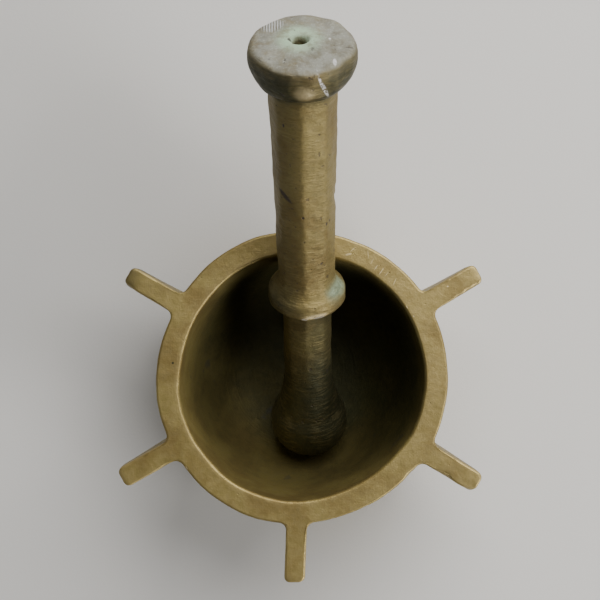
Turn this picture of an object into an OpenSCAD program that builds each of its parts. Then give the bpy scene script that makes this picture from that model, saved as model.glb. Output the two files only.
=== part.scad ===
// Hand mortar and pestle for crushing pills and dry drugs.
// The mortar is one casting with six radial ribs round a bowl. The pestle is a second,
// loose casting: a rounded head, a collar, a thicker grip and a flat-topped butt.
// Millimetres. Origin at the centre of the mortar's foot, +Z up.
// The pestle leans in the bowl towards +Y, its head on the floor and its grip by the rim.

/* [Mortar] */
// Height of the mortar from its foot to its rim
mortar_h = 73; // [68:1:90]
// Outer diameter of the round rim, without the ribs
rim_d = 120; // [120:1:130]
// Width of the flat rim
rim_w = 9.6; // [8:0.1:9.8]
// Depth of the bowl below the rim
bowl_depth = 61; // [61:0.5:62]
// How much the bowl narrows, in mm of radius for each mm of depth
bowl_taper = 0.12; // [0.08:0.01:0.12]
// Squareness of the bowl's lower corner, where 2 is a plain ellipse
bowl_power = 3.8; // [3.8:0.1:5]
// Height of the band of full diameter under the rim
lip_h = 9; // [6:1:14]
// Outer diameter of the wall just above the foot
waist_d = 92; // [90:1:100]
// Diameter of the foot
foot_d = 104; // [100:1:110]
// Height of the foot's straight edge
foot_h = 7; // [4:1:10]
// Depth of the hollow under the foot
foot_recess = 1.5; // [1:0.25:2]

/* [Ribs] */
// Thickness of a rib
rib_t = 8.6; // [6:0.2:10]
// Reach of a rib from the mortar's axis, at the rim
rib_reach = 85; // [78:1:92]
// Reach of a rib from the mortar's axis, at the foot
rib_foot_reach = 57; // [55:1:62]
// Radius of the fillet between a rib and the rim
rib_fillet = 3.4; // [1:0.2:5]
// Radius of the corners at a rib's outer end
rib_corner = 2.6; // [1:0.2:3]

/* [Pestle] */
// Radius of the round head that does the crushing
head_r = 16.4; // [15:0.1:16.4]
// Radius of the thin shank above the head
shank_r = 10; // [8:0.1:10]
// Radius of the collar
collar_r = 16; // [15.5:0.1:16]
// Distance from the centre of the head to the middle of the collar
collar_at = 72; // [71.5:0.1:72.5]
// Height of the collar along the pestle, without the flare above it
collar_h = 8; // [7:0.1:8.4]
// Radius of the grip just above the collar
grip_low_r = 11.4; // [11:0.1:11.5]
// Radius of the grip where it meets the butt
grip_top_r = 13.2; // [12:0.1:14]
// Distance from the centre of the head to the neck under the butt
neck_at = 173; // [160:1:190]
// Length of the butt
butt_h = 18; // [14:1:22]
// Largest radius of the butt
butt_r = 20.4; // [19:0.1:23]
// Radius of the small casting pit in the butt's end
pit_r = 2.2; // [1:0.1:2.6]

/* [Pestle at rest] */
// Lean of the pestle from upright
lean = 50; // [50:0.1:50.5]
// Turn of the leaning pestle about the upright axis, towards -X
turn = 1.3; // [0:0.1:2]
// Centre of the head to the right of the mortar's axis
head_x = 3.4; // [0:0.1:4]
// Centre of the head in front of the mortar's axis
head_y = 19.4; // [19:0.1:19.5]
// Centre of the head below the rim
head_drop = 43.3; // [43:0.1:43.3]

/* [Hidden] */
$fn = 96;

rim_r = rim_d / 2;
bowl_r = rim_r - rim_w;
bowl_steps = 26;
// Worn bevels on the inner and outer edges of the rim
inner_bevel = 0.8;
outer_bevel = 0.6;
// The wall lies this far inside the rim, and this height takes it there
lip_in = 6;
lip_run = 7;
lip_steps = 6;
// Height over which the wall spreads out to the foot
foot_run = 6;
foot_steps = 5;
foot_bevel = 1;
// Width of the ring that the mortar stands on, and its inner radius
foot_ring_w = 9;
foot_ring_r = foot_d / 2 - foot_ring_w;
// Slope of the hollow's edge under the foot, in mm of radius for each mm of depth
recess_slope = 3;

// There is a rib every 60 degrees, and the first one points towards -Y
rib_step = 60;
rib_start = -90;
// Start of a rib's plan, inside the wall and outside the hollow under the foot
rib_from = foot_ring_r + 1;
// A rib's end is straight down to this height, and then sweeps in
rib_sweep_z = mortar_h - 14;
sweep_power = 1.6;
sweep_steps = 14;

// Angle at which the round of the head gives way to the flare, and where the flare ends
head_end = 32;
head_steps = 20;
flare_at = 33;
flare_power = 2.4;
flare_steps = 12;
// Rounding of the collar's edges, and the angle at which its upper edge turns into a flare
collar_edge = 3;
collar_turn = 50;
collar_flare_h = 5.7;
collar_flare_power = 1.8;
collar_steps = 6;
// Height over which the butt swells out from the neck
butt_swell_h = 11;
butt_steps = 8;
// Rounding of the butt's edge, and how far its end face rises to the middle
butt_edge = 2.2;
butt_dome = 0.8;
// Casting pit in the end face, a little off its centre
pit_depth = 2.4;
pit_off = 0.8;

bronze = [0.60, 0.50, 0.33];
bronze_pestle = [0.63, 0.54, 0.38];

// Radius of the bowl at a depth below the rim: a narrowing wall times a rounded corner
function bowl_radius(d) = (bowl_r - bowl_taper * d)
    * pow(max(0, 1 - pow(d / bowl_depth, bowl_power)), 1 / bowl_power);

// Depth of step i of the bowl, with the steps closing up towards the floor
function bowl_step(i) = bowl_depth * sin(90 * i / bowl_steps);

// Points of an arc, as [distance from the axis, height]
function arc(cx, cz, r, from, to, steps) =
    [for (i = [0:steps]) let (a = from + (to - from) * i / steps) [cx + r * cos(a), cz + r * sin(a)]];

// Smooth step from 0 to 1
function ease(t) = t * t * (3 - 2 * t);

// Outside of the mortar from the rim's outer edge to the middle of the foot, as [radius, height]
function outer_section() = concat(
    [[rim_r - outer_bevel, mortar_h],
     [rim_r, mortar_h - outer_bevel]],
    [for (i = [0:lip_steps]) let (t = i / lip_steps)
        [rim_r - lip_in * ease(t), mortar_h - lip_h - lip_run * t]],
    [[waist_d / 2, foot_h + foot_run]],
    [for (i = [1:foot_steps]) let (t = i / foot_steps)
        [waist_d / 2 + (foot_d - waist_d) / 2 * ease(t), foot_h + foot_run * (1 - t)]],
    [[foot_d / 2, foot_bevel],
     [foot_d / 2 - foot_bevel, 0],
     [foot_ring_r, 0],
     [foot_ring_r - recess_slope * foot_recess, foot_recess],
     [0, foot_recess]]);

// Inside of the bowl from its floor to the rim's inner edge, as [radius, height]
function inner_section() = concat(
    [for (i = [bowl_steps:-1:1]) [bowl_radius(bowl_step(i)), mortar_h - bowl_step(i)]],
    [[bowl_r, mortar_h - inner_bevel],
     [bowl_r + inner_bevel, mortar_h]]);

// The mortar's outside form with the bowl filled in, for cutting the ribs to it
module vessel_solid() {
    rotate_extrude() polygon(concat([[0, mortar_h]], outer_section()));
}

module mortar_vessel() {
    color(bronze) rotate_extrude() polygon(concat(inner_section(), outer_section()));
}

// Plan of one rib along +X, with corners rounded at its end
module rib_plan() {
    end = rib_reach - rib_corner;
    translate([rib_from, -rib_t / 2]) square([end - rib_from, rib_t]);
    translate([rib_from, -rib_t / 2 + rib_corner])
        square([rib_reach - rib_from, rib_t - 2 * rib_corner]);
    for (side = [-1, 1])
        translate([end, side * (rib_t / 2 - rib_corner)]) circle(rib_corner);
}

// Plan of the two fillets at the rib's root, tangent to the rim and to the rib's sides
module fillet_plan() {
    centre_y = rib_t / 2 + rib_fillet;
    centre_x = sqrt(pow(rim_r + rib_fillet, 2) - pow(centre_y, 2));
    difference() {
        translate([rib_from, -centre_y]) square([centre_x - rib_from, 2 * centre_y]);
        for (side = [-1, 1])
            translate([centre_x, side * centre_y]) circle(rib_fillet);
    }
}

// Side of one rib: straight down at the rim, then sweeping in to the foot
module rib_side() {
    drop = rib_sweep_z - foot_bevel;
    polygon(concat(
        [[0, foot_bevel], [0, mortar_h], [rib_reach - outer_bevel, mortar_h],
         [rib_reach, mortar_h - outer_bevel]],
        [for (i = [0:sweep_steps]) let (t = i / sweep_steps)
            [rib_foot_reach + (rib_reach - rib_foot_reach) * pow(1 - t, sweep_power),
             rib_sweep_z - drop * t]]));
}

// Rib number i, counted anticlockwise from -Y, cut to the outside of the mortar's wall
module rib(i) {
    difference() {
        rotate(rib_start + rib_step * (i - 1)) {
            intersection() {
                linear_extrude(mortar_h) rib_plan();
                rotate([90, 0, 0]) linear_extrude(2 * rib_t, center = true) rib_side();
            }
            translate([0, 0, mortar_h - lip_h]) linear_extrude(lip_h) fillet_plan();
        }
        vessel_solid();
    }
}

module mortar_rib_1() { color(bronze) rib(1); }
module mortar_rib_2() { color(bronze) rib(2); }
module mortar_rib_3() { color(bronze) rib(3); }
module mortar_rib_4() { color(bronze) rib(4); }
module mortar_rib_5() { color(bronze) rib(5); }
module mortar_rib_6() { color(bronze) rib(6); }

// Points of a flare from a wide end to a narrow one, as [radius, height], without its start
function flare(wide, narrow, low, high, power, steps) =
    [for (i = [1:steps]) let (t = i / steps)
        [narrow + (wide - narrow) * pow(1 - t, power), low + (high - low) * t]];

// Head and shank of the pestle, as [radius, distance from the centre of the head]
function head_section() = concat(
    arc(0, 0, head_r, -90, head_end, head_steps),
    flare(head_r * cos(head_end), shank_r, head_r * sin(head_end), flare_at, flare_power, flare_steps));

// Collar: a rounded band with a square step down to the shank and a flare up to the grip
function collar_section() =
    let (round_r = collar_r - collar_edge,
         low = collar_at - collar_h / 2,
         high = collar_at + collar_h / 2 - collar_edge,
         flare_low = high + collar_edge * sin(collar_turn))
    concat(
        [[shank_r, low]],
        arc(round_r, low + collar_edge, collar_edge, -90, 0, collar_steps),
        arc(round_r, high, collar_edge, 0, collar_turn, collar_steps),
        flare(round_r + collar_edge * cos(collar_turn), grip_low_r,
              flare_low, flare_low + collar_flare_h, collar_flare_power, collar_steps));

// Butt: a quarter ellipse out from the neck, a straight side, a rounded edge and a domed end
function butt_section() =
    let (edge_z = neck_at + butt_h - butt_edge - butt_dome)
    concat(
        [for (i = [0:butt_steps]) let (a = 90 * i / butt_steps)
            [grip_top_r + (butt_r - grip_top_r) * sin(a), neck_at + butt_swell_h * (1 - cos(a))]],
        arc(butt_r - butt_edge, edge_z, butt_edge, 0, 80, butt_steps),
        [[0, neck_at + butt_h]]);

// The pestle upright, with the centre of its head at the origin
module pestle_upright() {
    difference() {
        rotate_extrude() polygon(concat(head_section(), collar_section(), butt_section()));
        translate([-pit_off, 0, neck_at + butt_h - pit_depth]) cylinder(r = pit_r, h = 2 * pit_depth);
    }
}

module pestle() {
    color(bronze_pestle)
        translate([head_x, -head_y, mortar_h - head_drop])
            rotate([0, 0, turn]) rotate([-lean, 0, 0]) pestle_upright();
}

mortar_vessel();
mortar_rib_1();
mortar_rib_2();
mortar_rib_3();
mortar_rib_4();
mortar_rib_5();
mortar_rib_6();
pestle();
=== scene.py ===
"""Old hand mortar with six ribs, and its loose pestle, as two finished bronze castings.

Lengths are metres in the row's frame: the origin is the centre of the foot and +Z is up.
Each casting is one closed surface of rings, worked out on a grid with numpy. Its finish is
a node material that reads Object coordinates and the casting's own vertex attributes.
"""
import logging
import math
from dataclasses import dataclass, field
from enum import Enum

import bpy
import numpy as np
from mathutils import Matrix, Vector


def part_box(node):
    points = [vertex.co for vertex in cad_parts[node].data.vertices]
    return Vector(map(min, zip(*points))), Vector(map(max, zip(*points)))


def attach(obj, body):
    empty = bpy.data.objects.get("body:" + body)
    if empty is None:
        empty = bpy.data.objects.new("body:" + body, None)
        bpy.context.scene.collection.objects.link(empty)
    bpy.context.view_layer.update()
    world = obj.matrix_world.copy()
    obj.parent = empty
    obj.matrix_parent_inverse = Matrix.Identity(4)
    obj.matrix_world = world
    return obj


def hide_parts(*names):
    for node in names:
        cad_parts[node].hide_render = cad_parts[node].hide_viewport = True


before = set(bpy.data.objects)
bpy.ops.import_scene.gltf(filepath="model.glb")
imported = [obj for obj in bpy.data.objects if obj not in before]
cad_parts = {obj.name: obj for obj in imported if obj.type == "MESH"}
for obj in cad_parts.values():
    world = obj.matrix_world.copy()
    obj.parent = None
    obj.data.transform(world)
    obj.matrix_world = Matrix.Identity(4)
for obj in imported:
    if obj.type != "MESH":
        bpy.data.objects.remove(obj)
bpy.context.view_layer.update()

LOG = logging.getLogger("mortar_and_pestle")
MM = 0.001
FLECK_EDGE = (0.55, 1.15)  # Where a fleck's edge starts and ends, in its half lengths

Array = np.ndarray
Colour = tuple[float, float, float]


class Body(Enum):
    """The CAD bodies that the castings ride on."""

    MORTAR = "mortar"
    PESTLE = "pestle"


class Slot(Enum):
    """The record's material slots."""

    MORTAR = "mortar_bronze"
    PESTLE = "pestle_bronze"


class Mark(Enum):
    """Vertex attributes that tell a finish where each kind of wear, dirt, painted light and painted shade
    is.
    """

    BARE_AND_LIT = "bare"
    DEEP_AND_SHADE = "deep"
    PALE = "pale"
    GREEN = "green"
    GRIME_AND_SHADE = "grime_and_shade"


def smooth_step(low: float, high: float, value: Array) -> Array:
    """Rise from 0 at low to 1 at high, flat at both ends: t squared times (3 - 2t).

    Args:
        low: Value at which the rise starts.
        high: Value at which it ends. It may be below low, for a fall.
        value: Values to weigh.

    Returns:
        Weights from 0 to 1.
    """
    t = np.clip((value - low) / (high - low), 0.0, 1.0)
    return t * t * (3.0 - 2.0 * t)


def bell(distance: Array, size: float) -> Array:
    """A smooth bump: e to the power of minus (distance / size) squared.

    Args:
        distance: Distances from the bump's middle.
        size: Distance at which the bump has fallen to about a third.

    Returns:
        Weights from 0 to 1.
    """
    return np.exp(-np.square(distance / size))


def facing(angle: Array, towards: float, low: float, high: float) -> Array:
    """Weight of the side that faces one way: a smooth_step of the cosine of the angle from it.

    Args:
        angle: Angles round the axis, in radians.
        towards: The way it faces, in radians.
        low: Cosine at which the weight starts.
        high: Cosine at which it is full.

    Returns:
        Weights from 0 to 1.
    """
    return smooth_step(low, high, np.cos(angle - towards))


def shares(count: int) -> Array:
    """Even shares from 0 up to 1, with 1 left out.

    Args:
        count: Number of shares.

    Returns:
        Array (1, count).
    """
    return (np.arange(count) / count)[None, :]


@dataclass(frozen=True)
class Unevenness:
    """Smooth lumps of about one size, as a sum of sine waves in seeded directions.

    Attributes:
        size: Length of a typical lump.
        height: Typical height of a lump.
        seed: Seed of the waves' directions, lengths and phases.
        count: Number of waves.
    """

    size: float
    height: float
    seed: int
    count: int = 28

    def at(self, points: Array) -> Array:
        """Height of the lumps at points.

        Args:
            points: Array of shape (..., 3).

        Returns:
            Heights, shaped as the points without their last axis.
        """
        rng = np.random.default_rng(self.seed)
        way = rng.normal(size=(self.count, 3))
        way /= np.linalg.norm(way, axis=1, keepdims=True)
        pace = 2.0 * math.pi / self.size * rng.uniform(0.55, 1.5, self.count)
        phase = rng.uniform(0.0, 2.0 * math.pi, self.count)
        waves = np.sin(points @ (way * pace[:, None]).T + phase)
        return self.height * waves.sum(axis=-1) / math.sqrt(self.count)


@dataclass(frozen=True)
class Dent:
    """A nick or a hollow: points near its centre are pushed by up to its push.

    Attributes:
        centre: Middle of the dent.
        size: Radius at which the push has fallen to about a third.
        push: Movement of the surface at the middle.
    """

    centre: tuple[float, float, float]
    size: float
    push: tuple[float, float, float]

    def press(self, points: Array) -> Array:
        """Points with the dent pressed in.

        Args:
            points: Array of shape (..., 3).

        Returns:
            The moved points.
        """
        away = np.linalg.norm(points - np.array(self.centre), axis=-1)
        return points + bell(away, self.size)[..., None] * np.array(self.push)


@dataclass(frozen=True)
class Fleck:
    """A small mark in a finish, inside an ellipsoid in the finish's coordinates.

    Attributes:
        centre: Its middle.
        size: Half its length along its own X, Y and Z.
        turn: Rotation about X, Y and Z, in degrees.
    """

    centre: tuple[float, float, float]
    size: tuple[float, float, float]
    turn: tuple[float, float, float] = (0.0, 0.0, 0.0)


@dataclass
class RingSurface:
    """A closed surface of rings, from a pole on top, over the outside, to a pole below.

    Attributes:
        rings: Array (rings, points in a ring, 3), anticlockwise from above.
        first: Point that closes the first ring.
        last: Point that closes the last ring.
        marks: Weight of each mark, each an array (rings, points in a ring).
        local: Upright coordinates of each ring point, where a finish needs them.
    """

    rings: Array
    first: Array
    last: Array
    marks: dict[Mark, Array] = field(default_factory=dict)
    local: Array | None = None

    def faces(self) -> list[list[int]]:
        """Quads between neighbouring rings and a fan of triangles at each pole.

        Returns:
            Vertex numbers of each face, outward side first.
        """
        count, around = self.rings.shape[:2]
        index = np.arange(count * around).reshape(count, around)
        right = np.roll(index, -1, axis=1)
        quads = np.stack([index[:-1], index[1:], right[1:], right[:-1]], axis=-1).reshape(-1, 4)
        top = np.full(around, count * around)
        low = np.full(around, count * around + 1)
        first_fan = np.stack([top, index[0], right[0]], axis=-1)
        last_fan = np.stack([right[-1], index[-1], low], axis=-1)
        return quads.tolist() + first_fan.tolist() + last_fan.tolist()

    def closed(self, values: Array) -> Array:
        """Ring values followed by the two poles' values, each the mean of its ring.

        Args:
            values: Array (rings, points in a ring) or (rings, points in a ring, parts).

        Returns:
            One row of values for each vertex.
        """
        flat = values.reshape(-1, *values.shape[2:])
        ends = np.stack([values[0].mean(axis=0), values[-1].mean(axis=0)])
        return np.concatenate([flat, ends])

    def make(self, name: str) -> bpy.types.Object:
        """Put the surface into a smooth-shaded mesh object with its marks.

        Args:
            name: Name of the piece.

        Returns:
            The new object, at the origin.
        """
        mesh = bpy.data.meshes.new(name)
        points = np.concatenate([self.rings.reshape(-1, 3), [self.first, self.last]])
        mesh.from_pydata(points.tolist(), [], self.faces())
        mesh.polygons.foreach_set("use_smooth", np.ones(len(mesh.polygons), dtype=bool))
        for mark, weight in self.marks.items():
            layer = mesh.attributes.new(mark.value, "FLOAT", "POINT")
            layer.data.foreach_set("value", self.closed(weight).astype(np.float32))
        if self.local is not None:
            layer = mesh.attributes.new("upright", "FLOAT_VECTOR", "POINT")
            layer.data.foreach_set("vector", self.closed(self.local).astype(np.float32).ravel())
        mesh.update()
        piece = bpy.data.objects.new(name, mesh)
        bpy.context.scene.collection.objects.link(piece)
        return piece


@dataclass
class Graph:
    """A material's nodes, written as sums, fades and mixes of sockets.

    Attributes:
        material: The material that the nodes belong to.
    """

    material: bpy.types.Material

    @classmethod
    def new(cls, name: str) -> "Graph":
        """Start an empty node material.

        Args:
            name: Name of the material.

        Returns:
            Its graph.
        """
        material = bpy.data.materials.new(name)
        material.use_nodes = True
        material.node_tree.nodes.clear()
        return cls(material)

    def add(self, kind: str, **settings: object) -> bpy.types.Node:
        """Add a node and set its properties.

        Args:
            kind: Node type, such as "ShaderNodeMath".
            **settings: Properties of the node.

        Returns:
            The node.
        """
        node = self.material.node_tree.nodes.new(kind)
        for key, value in settings.items():
            setattr(node, key, value)
        return node

    def put(self, target: bpy.types.NodeSocket, value: object) -> None:
        """Link a socket to target, or set target to a plain value.

        Args:
            target: Input socket to feed.
            value: Output socket, number, vector, or colour without its alpha.
        """
        if isinstance(value, bpy.types.NodeSocket):
            self.material.node_tree.links.new(value, target)
        elif isinstance(value, tuple) and target.type == "RGBA":
            target.default_value = (*value, 1.0)
        else:
            target.default_value = value

    def maths(self, operation: str, a: object, b: object = 0.0,
              clamp: bool = False) -> bpy.types.NodeSocket:
        """One sum of two numbers.

        Args:
            operation: Name of the Math operation.
            a: First number or socket.
            b: Second number or socket.
            clamp: Whether the result is kept from 0 to 1.

        Returns:
            The result's socket.
        """
        node = self.add("ShaderNodeMath", operation=operation, use_clamp=clamp)
        self.put(node.inputs[0], a)
        self.put(node.inputs[1], b)
        return node.outputs[0]

    def total(self, *terms: tuple[object, float], start: float = 0.0) -> bpy.types.NodeSocket:
        """A start value plus each socket times its weight.

        Args:
            *terms: Pairs of a socket and its weight.
            start: Value with every socket at 0.

        Returns:
            The total's socket.
        """
        result: object = start
        for socket, weight in terms:
            node = self.add("ShaderNodeMath", operation="MULTIPLY_ADD")
            self.put(node.inputs[0], socket)
            self.put(node.inputs[1], weight)
            self.put(node.inputs[2], result)
            result = node.outputs[0]
        return result

    def stretch(self, vector: object, scale: tuple[float, float, float]) -> bpy.types.NodeSocket:
        """A vector with each part multiplied by its own scale.

        Args:
            vector: The vector's socket.
            scale: Scale of each part.

        Returns:
            The new vector's socket.
        """
        node = self.add("ShaderNodeVectorMath", operation="MULTIPLY")
        self.put(node.inputs[0], vector)
        node.inputs[1].default_value = scale
        return node.outputs[0]

    def noise(self, vector: object, scale: float, detail: float = 3.0, rough: float = 0.55,
              warp: float = 0.0) -> bpy.types.NodeSocket:
        """Blotchy noise round 0.5.

        Args:
            vector: Where it is read.
            scale: Blotches in a metre.
            detail: Number of finer layers.
            rough: Strength of the finer layers.
            warp: How much the blotches are twisted.

        Returns:
            The noise's socket.
        """
        node = self.add("ShaderNodeTexNoise")
        self.put(node.inputs["Vector"], vector)
        node.inputs["Scale"].default_value = scale
        node.inputs["Detail"].default_value = detail
        node.inputs["Roughness"].default_value = rough
        node.inputs["Distortion"].default_value = warp
        return node.outputs[0]

    def fade(self, value: object, low: float, high: float, start: float = 0.0,
             end: float = 1.0) -> bpy.types.NodeSocket:
        """A smooth change from start, at low, to end, at high.

        Args:
            value: Socket that drives the change.
            low: Value where it begins.
            high: Value where it ends.
            start: Result up to low.
            end: Result from high.

        Returns:
            The result's socket.
        """
        node = self.add("ShaderNodeMapRange", interpolation_type="SMOOTHSTEP")
        self.put(node.inputs["Value"], value)
        for name, number in (("From Min", low), ("From Max", high), ("To Min", start), ("To Max", end)):
            node.inputs[name].default_value = number
        return node.outputs["Result"]

    def mix(self, share: object, a: object, b: object) -> bpy.types.NodeSocket:
        """Colour a turning into colour b as share goes from 0 to 1.

        Args:
            share: Socket or number from 0 to 1.
            a: Colour at 0.
            b: Colour at 1.

        Returns:
            The mixed colour's socket.
        """
        node = self.add("ShaderNodeMix", data_type="RGBA")
        colours = [socket for socket in node.inputs if socket.type == "RGBA"]
        self.put(node.inputs[0], share)
        self.put(colours[0], a)
        self.put(colours[1], b)
        return next(socket for socket in node.outputs if socket.type == "RGBA")

    def mark(self, mark: Mark) -> bpy.types.NodeSocket:
        """The weight of one mark on the surface.

        Args:
            mark: The mark to read.

        Returns:
            The weight's socket.
        """
        return self.add("ShaderNodeAttribute", attribute_name=mark.value).outputs["Fac"]

    def upright(self) -> bpy.types.NodeSocket:
        """The surface's own upright coordinates.

        Returns:
            The coordinates' socket.
        """
        return self.add("ShaderNodeAttribute", attribute_name="upright").outputs["Vector"]

    def place(self) -> bpy.types.NodeSocket:
        """Object coordinates.

        Returns:
            The coordinates' socket.
        """
        return self.add("ShaderNodeTexCoord").outputs["Object"]

    def round_axis(self, vector: object, around: float, out: float, along: float) -> bpy.types.NodeSocket:
        """Coordinates in which a noise becomes rings or streaks round the Z axis, with no seam.

        The direction from the axis is scaled by around, and it is joined by one number,
        the distance from the axis times out plus the height times along.

        Args:
            vector: Coordinates about the axis.
            around: Blotches in a turn. A small number gives long rings.
            out: Scale of the distance from the axis.
            along: Scale of the height.

        Returns:
            The new coordinates.
        """
        parts = self.add("ShaderNodeSeparateXYZ")
        self.put(parts.inputs[0], vector)
        flat = self.stretch(vector, (1.0, 1.0, 0.0))
        size = self.add("ShaderNodeVectorMath", operation="LENGTH")
        self.put(size.inputs[0], flat)
        way = self.add("ShaderNodeVectorMath", operation="NORMALIZE")
        self.put(way.inputs[0], flat)
        turn = self.add("ShaderNodeSeparateXYZ")
        self.put(turn.inputs[0], way.outputs[0])
        level = self.total((size.outputs["Value"], out), (parts.outputs["Z"], along))
        joined = self.add("ShaderNodeCombineXYZ")
        self.put(joined.inputs[0], self.maths("MULTIPLY", turn.outputs["X"], around))
        self.put(joined.inputs[1], self.maths("MULTIPLY", turn.outputs["Y"], around))
        self.put(joined.inputs[2], level)
        return joined.outputs[0]

    def fleck(self, where: object, fleck: Fleck) -> bpy.types.NodeSocket:
        """The weight of one fleck: 1 inside it, with a soft edge.

        Args:
            where: Coordinates that the fleck is placed in.
            fleck: The fleck, in millimetres.

        Returns:
            The weight's socket.
        """
        local = self.add("ShaderNodeMapping", vector_type="TEXTURE")
        self.put(local.inputs["Vector"], where)
        local.inputs["Location"].default_value = [v * MM for v in fleck.centre]
        local.inputs["Rotation"].default_value = [math.radians(v) for v in fleck.turn]
        local.inputs["Scale"].default_value = [v * MM for v in fleck.size]
        away = self.add("ShaderNodeVectorMath", operation="LENGTH")
        self.put(away.inputs[0], local.outputs[0])
        return self.fade(away.outputs["Value"], *FLECK_EDGE, 1.0, 0.0)

    def flecks(self, where: object, flecks: tuple[Fleck, ...]) -> bpy.types.NodeSocket:
        """The weight of several flecks together.

        Args:
            where: Coordinates that the flecks are placed in.
            flecks: The flecks, in millimetres.

        Returns:
            The weight's socket, from 0 to 1.
        """
        weights = [self.fleck(where, fleck) for fleck in flecks]
        return self.maths("ADD", self.total(*((weight, 1.0) for weight in weights)), 0.0, clamp=True)

    def bump(self, *layers: tuple[object, float]) -> bpy.types.NodeSocket:
        """A normal roughened by layers of height.

        Args:
            *layers: Pairs of a height socket, from 0 to 1, and its height in metres.

        Returns:
            The normal's socket.
        """
        normal: object = None
        for height, size in layers:
            node = self.add("ShaderNodeBump")
            node.inputs["Distance"].default_value = size
            self.put(node.inputs["Height"], height)
            if normal is not None:
                self.put(node.inputs["Normal"], normal)
            normal = node.outputs[0]
        return normal

    def finish(self, **inputs: object) -> bpy.types.Material:
        """Close the graph with one Principled shader.

        Args:
            **inputs: Shader inputs, with spaces in their names written as underscores.

        Returns:
            The finished material.
        """
        shader = self.add("ShaderNodeBsdfPrincipled")
        for name, value in inputs.items():
            self.put(shader.inputs[name.replace("_", " ")], value)
        out = self.add("ShaderNodeOutputMaterial")
        self.put(out.inputs["Surface"], shader.outputs[0])
        return self.material


@dataclass(frozen=True)
class OldBronze:
    """Colours and gloss of an old bronze casting.

    Attributes:
        name: Name of the material.
        bare: Metal where it is rubbed, and where painted light brightens it.
        tarnish: Metal where it has gone dull.
        brown: Warmer blotches in the tarnish.
        dark: Dirt in hollows, and painted shade.
        inside: Darkened metal deep in the bowl, with painted shade.
        pale: Grey-white bloom of hard wear.
        lilac: Darker blotches in the bloom.
        bloom: Lightest specks in the bloom.
        green: Verdigris.
        silver: Fresh bright scratches, and painted highlights.
        gold: Metal rubbed bright, and painted highlights.
        scuff: Blue-black scuffs in the bowl.
        wound: Dirt in gouges and pits.
        gloss: Roughness of the dull metal.
        metal: How metallic it still is under its patina.
    """

    name: str
    bare: Colour = (0.46, 0.355, 0.150)
    tarnish: Colour = (0.29, 0.230, 0.072)
    brown: Colour = (0.27, 0.195, 0.066)
    dark: Colour = (0.038, 0.039, 0.018)
    inside: Colour = (0.076, 0.074, 0.028)
    pale: Colour = (0.285, 0.27, 0.25)
    lilac: Colour = (0.20, 0.175, 0.155)
    bloom: Colour = (0.42, 0.42, 0.38)
    green: Colour = (0.38, 0.51, 0.36)
    silver: Colour = (0.72, 0.72, 0.74)
    gold: Colour = (0.80, 0.66, 0.38)
    scuff: Colour = (0.045, 0.050, 0.060)
    wound: Colour = (0.050, 0.038, 0.036)
    gloss: float = 0.47
    metal: float = 0.68

    def metal_colour(self, graph: Graph, where: object) -> bpy.types.NodeSocket:
        """Dull metal in two tones, rubbed bare, dirtied and painted with light and shade where the marks
        say.

        Args:
            graph: Graph to build in.
            where: Coordinates of the blotches.

        Returns:
            The colour's socket.
        """
        blotch = graph.fade(graph.noise(where, 55.0, 4.0, 0.6, 0.4), 0.38, 0.66)
        fine = graph.fade(graph.noise(where, 420.0, 3.0, 0.6), 0.35, 0.7)
        tone = graph.mix(blotch, self.tarnish, self.brown)
        # Rubbed metal, and painted light where the rim and edges face the lamps.
        rub_and_light = graph.total((graph.mark(Mark.BARE_AND_LIT), 1.0), (fine, 0.35), (blotch, -0.25), start=-0.05)
        tone = graph.mix(graph.maths("MULTIPLY", rub_and_light, 1.0, clamp=True), tone, self.bare)
        # Darker dirt and painted shade deep in the bowl, in the inside colour.
        deep = graph.total((graph.mark(Mark.DEEP_AND_SHADE), 1.0), (blotch, 0.16), (fine, 0.10), start=-0.13)
        tone = graph.mix(graph.maths("MULTIPLY", deep, 1.0, clamp=True), tone, self.inside)
        # Dirt and painted shade, in the dark colour.
        dirt_and_shade = graph.total((graph.mark(Mark.GRIME_AND_SHADE), 1.0), (fine, 0.12), start=-0.06)
        return graph.mix(graph.maths("MULTIPLY", dirt_and_shade, 1.0, clamp=True), tone, self.dark)


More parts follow.
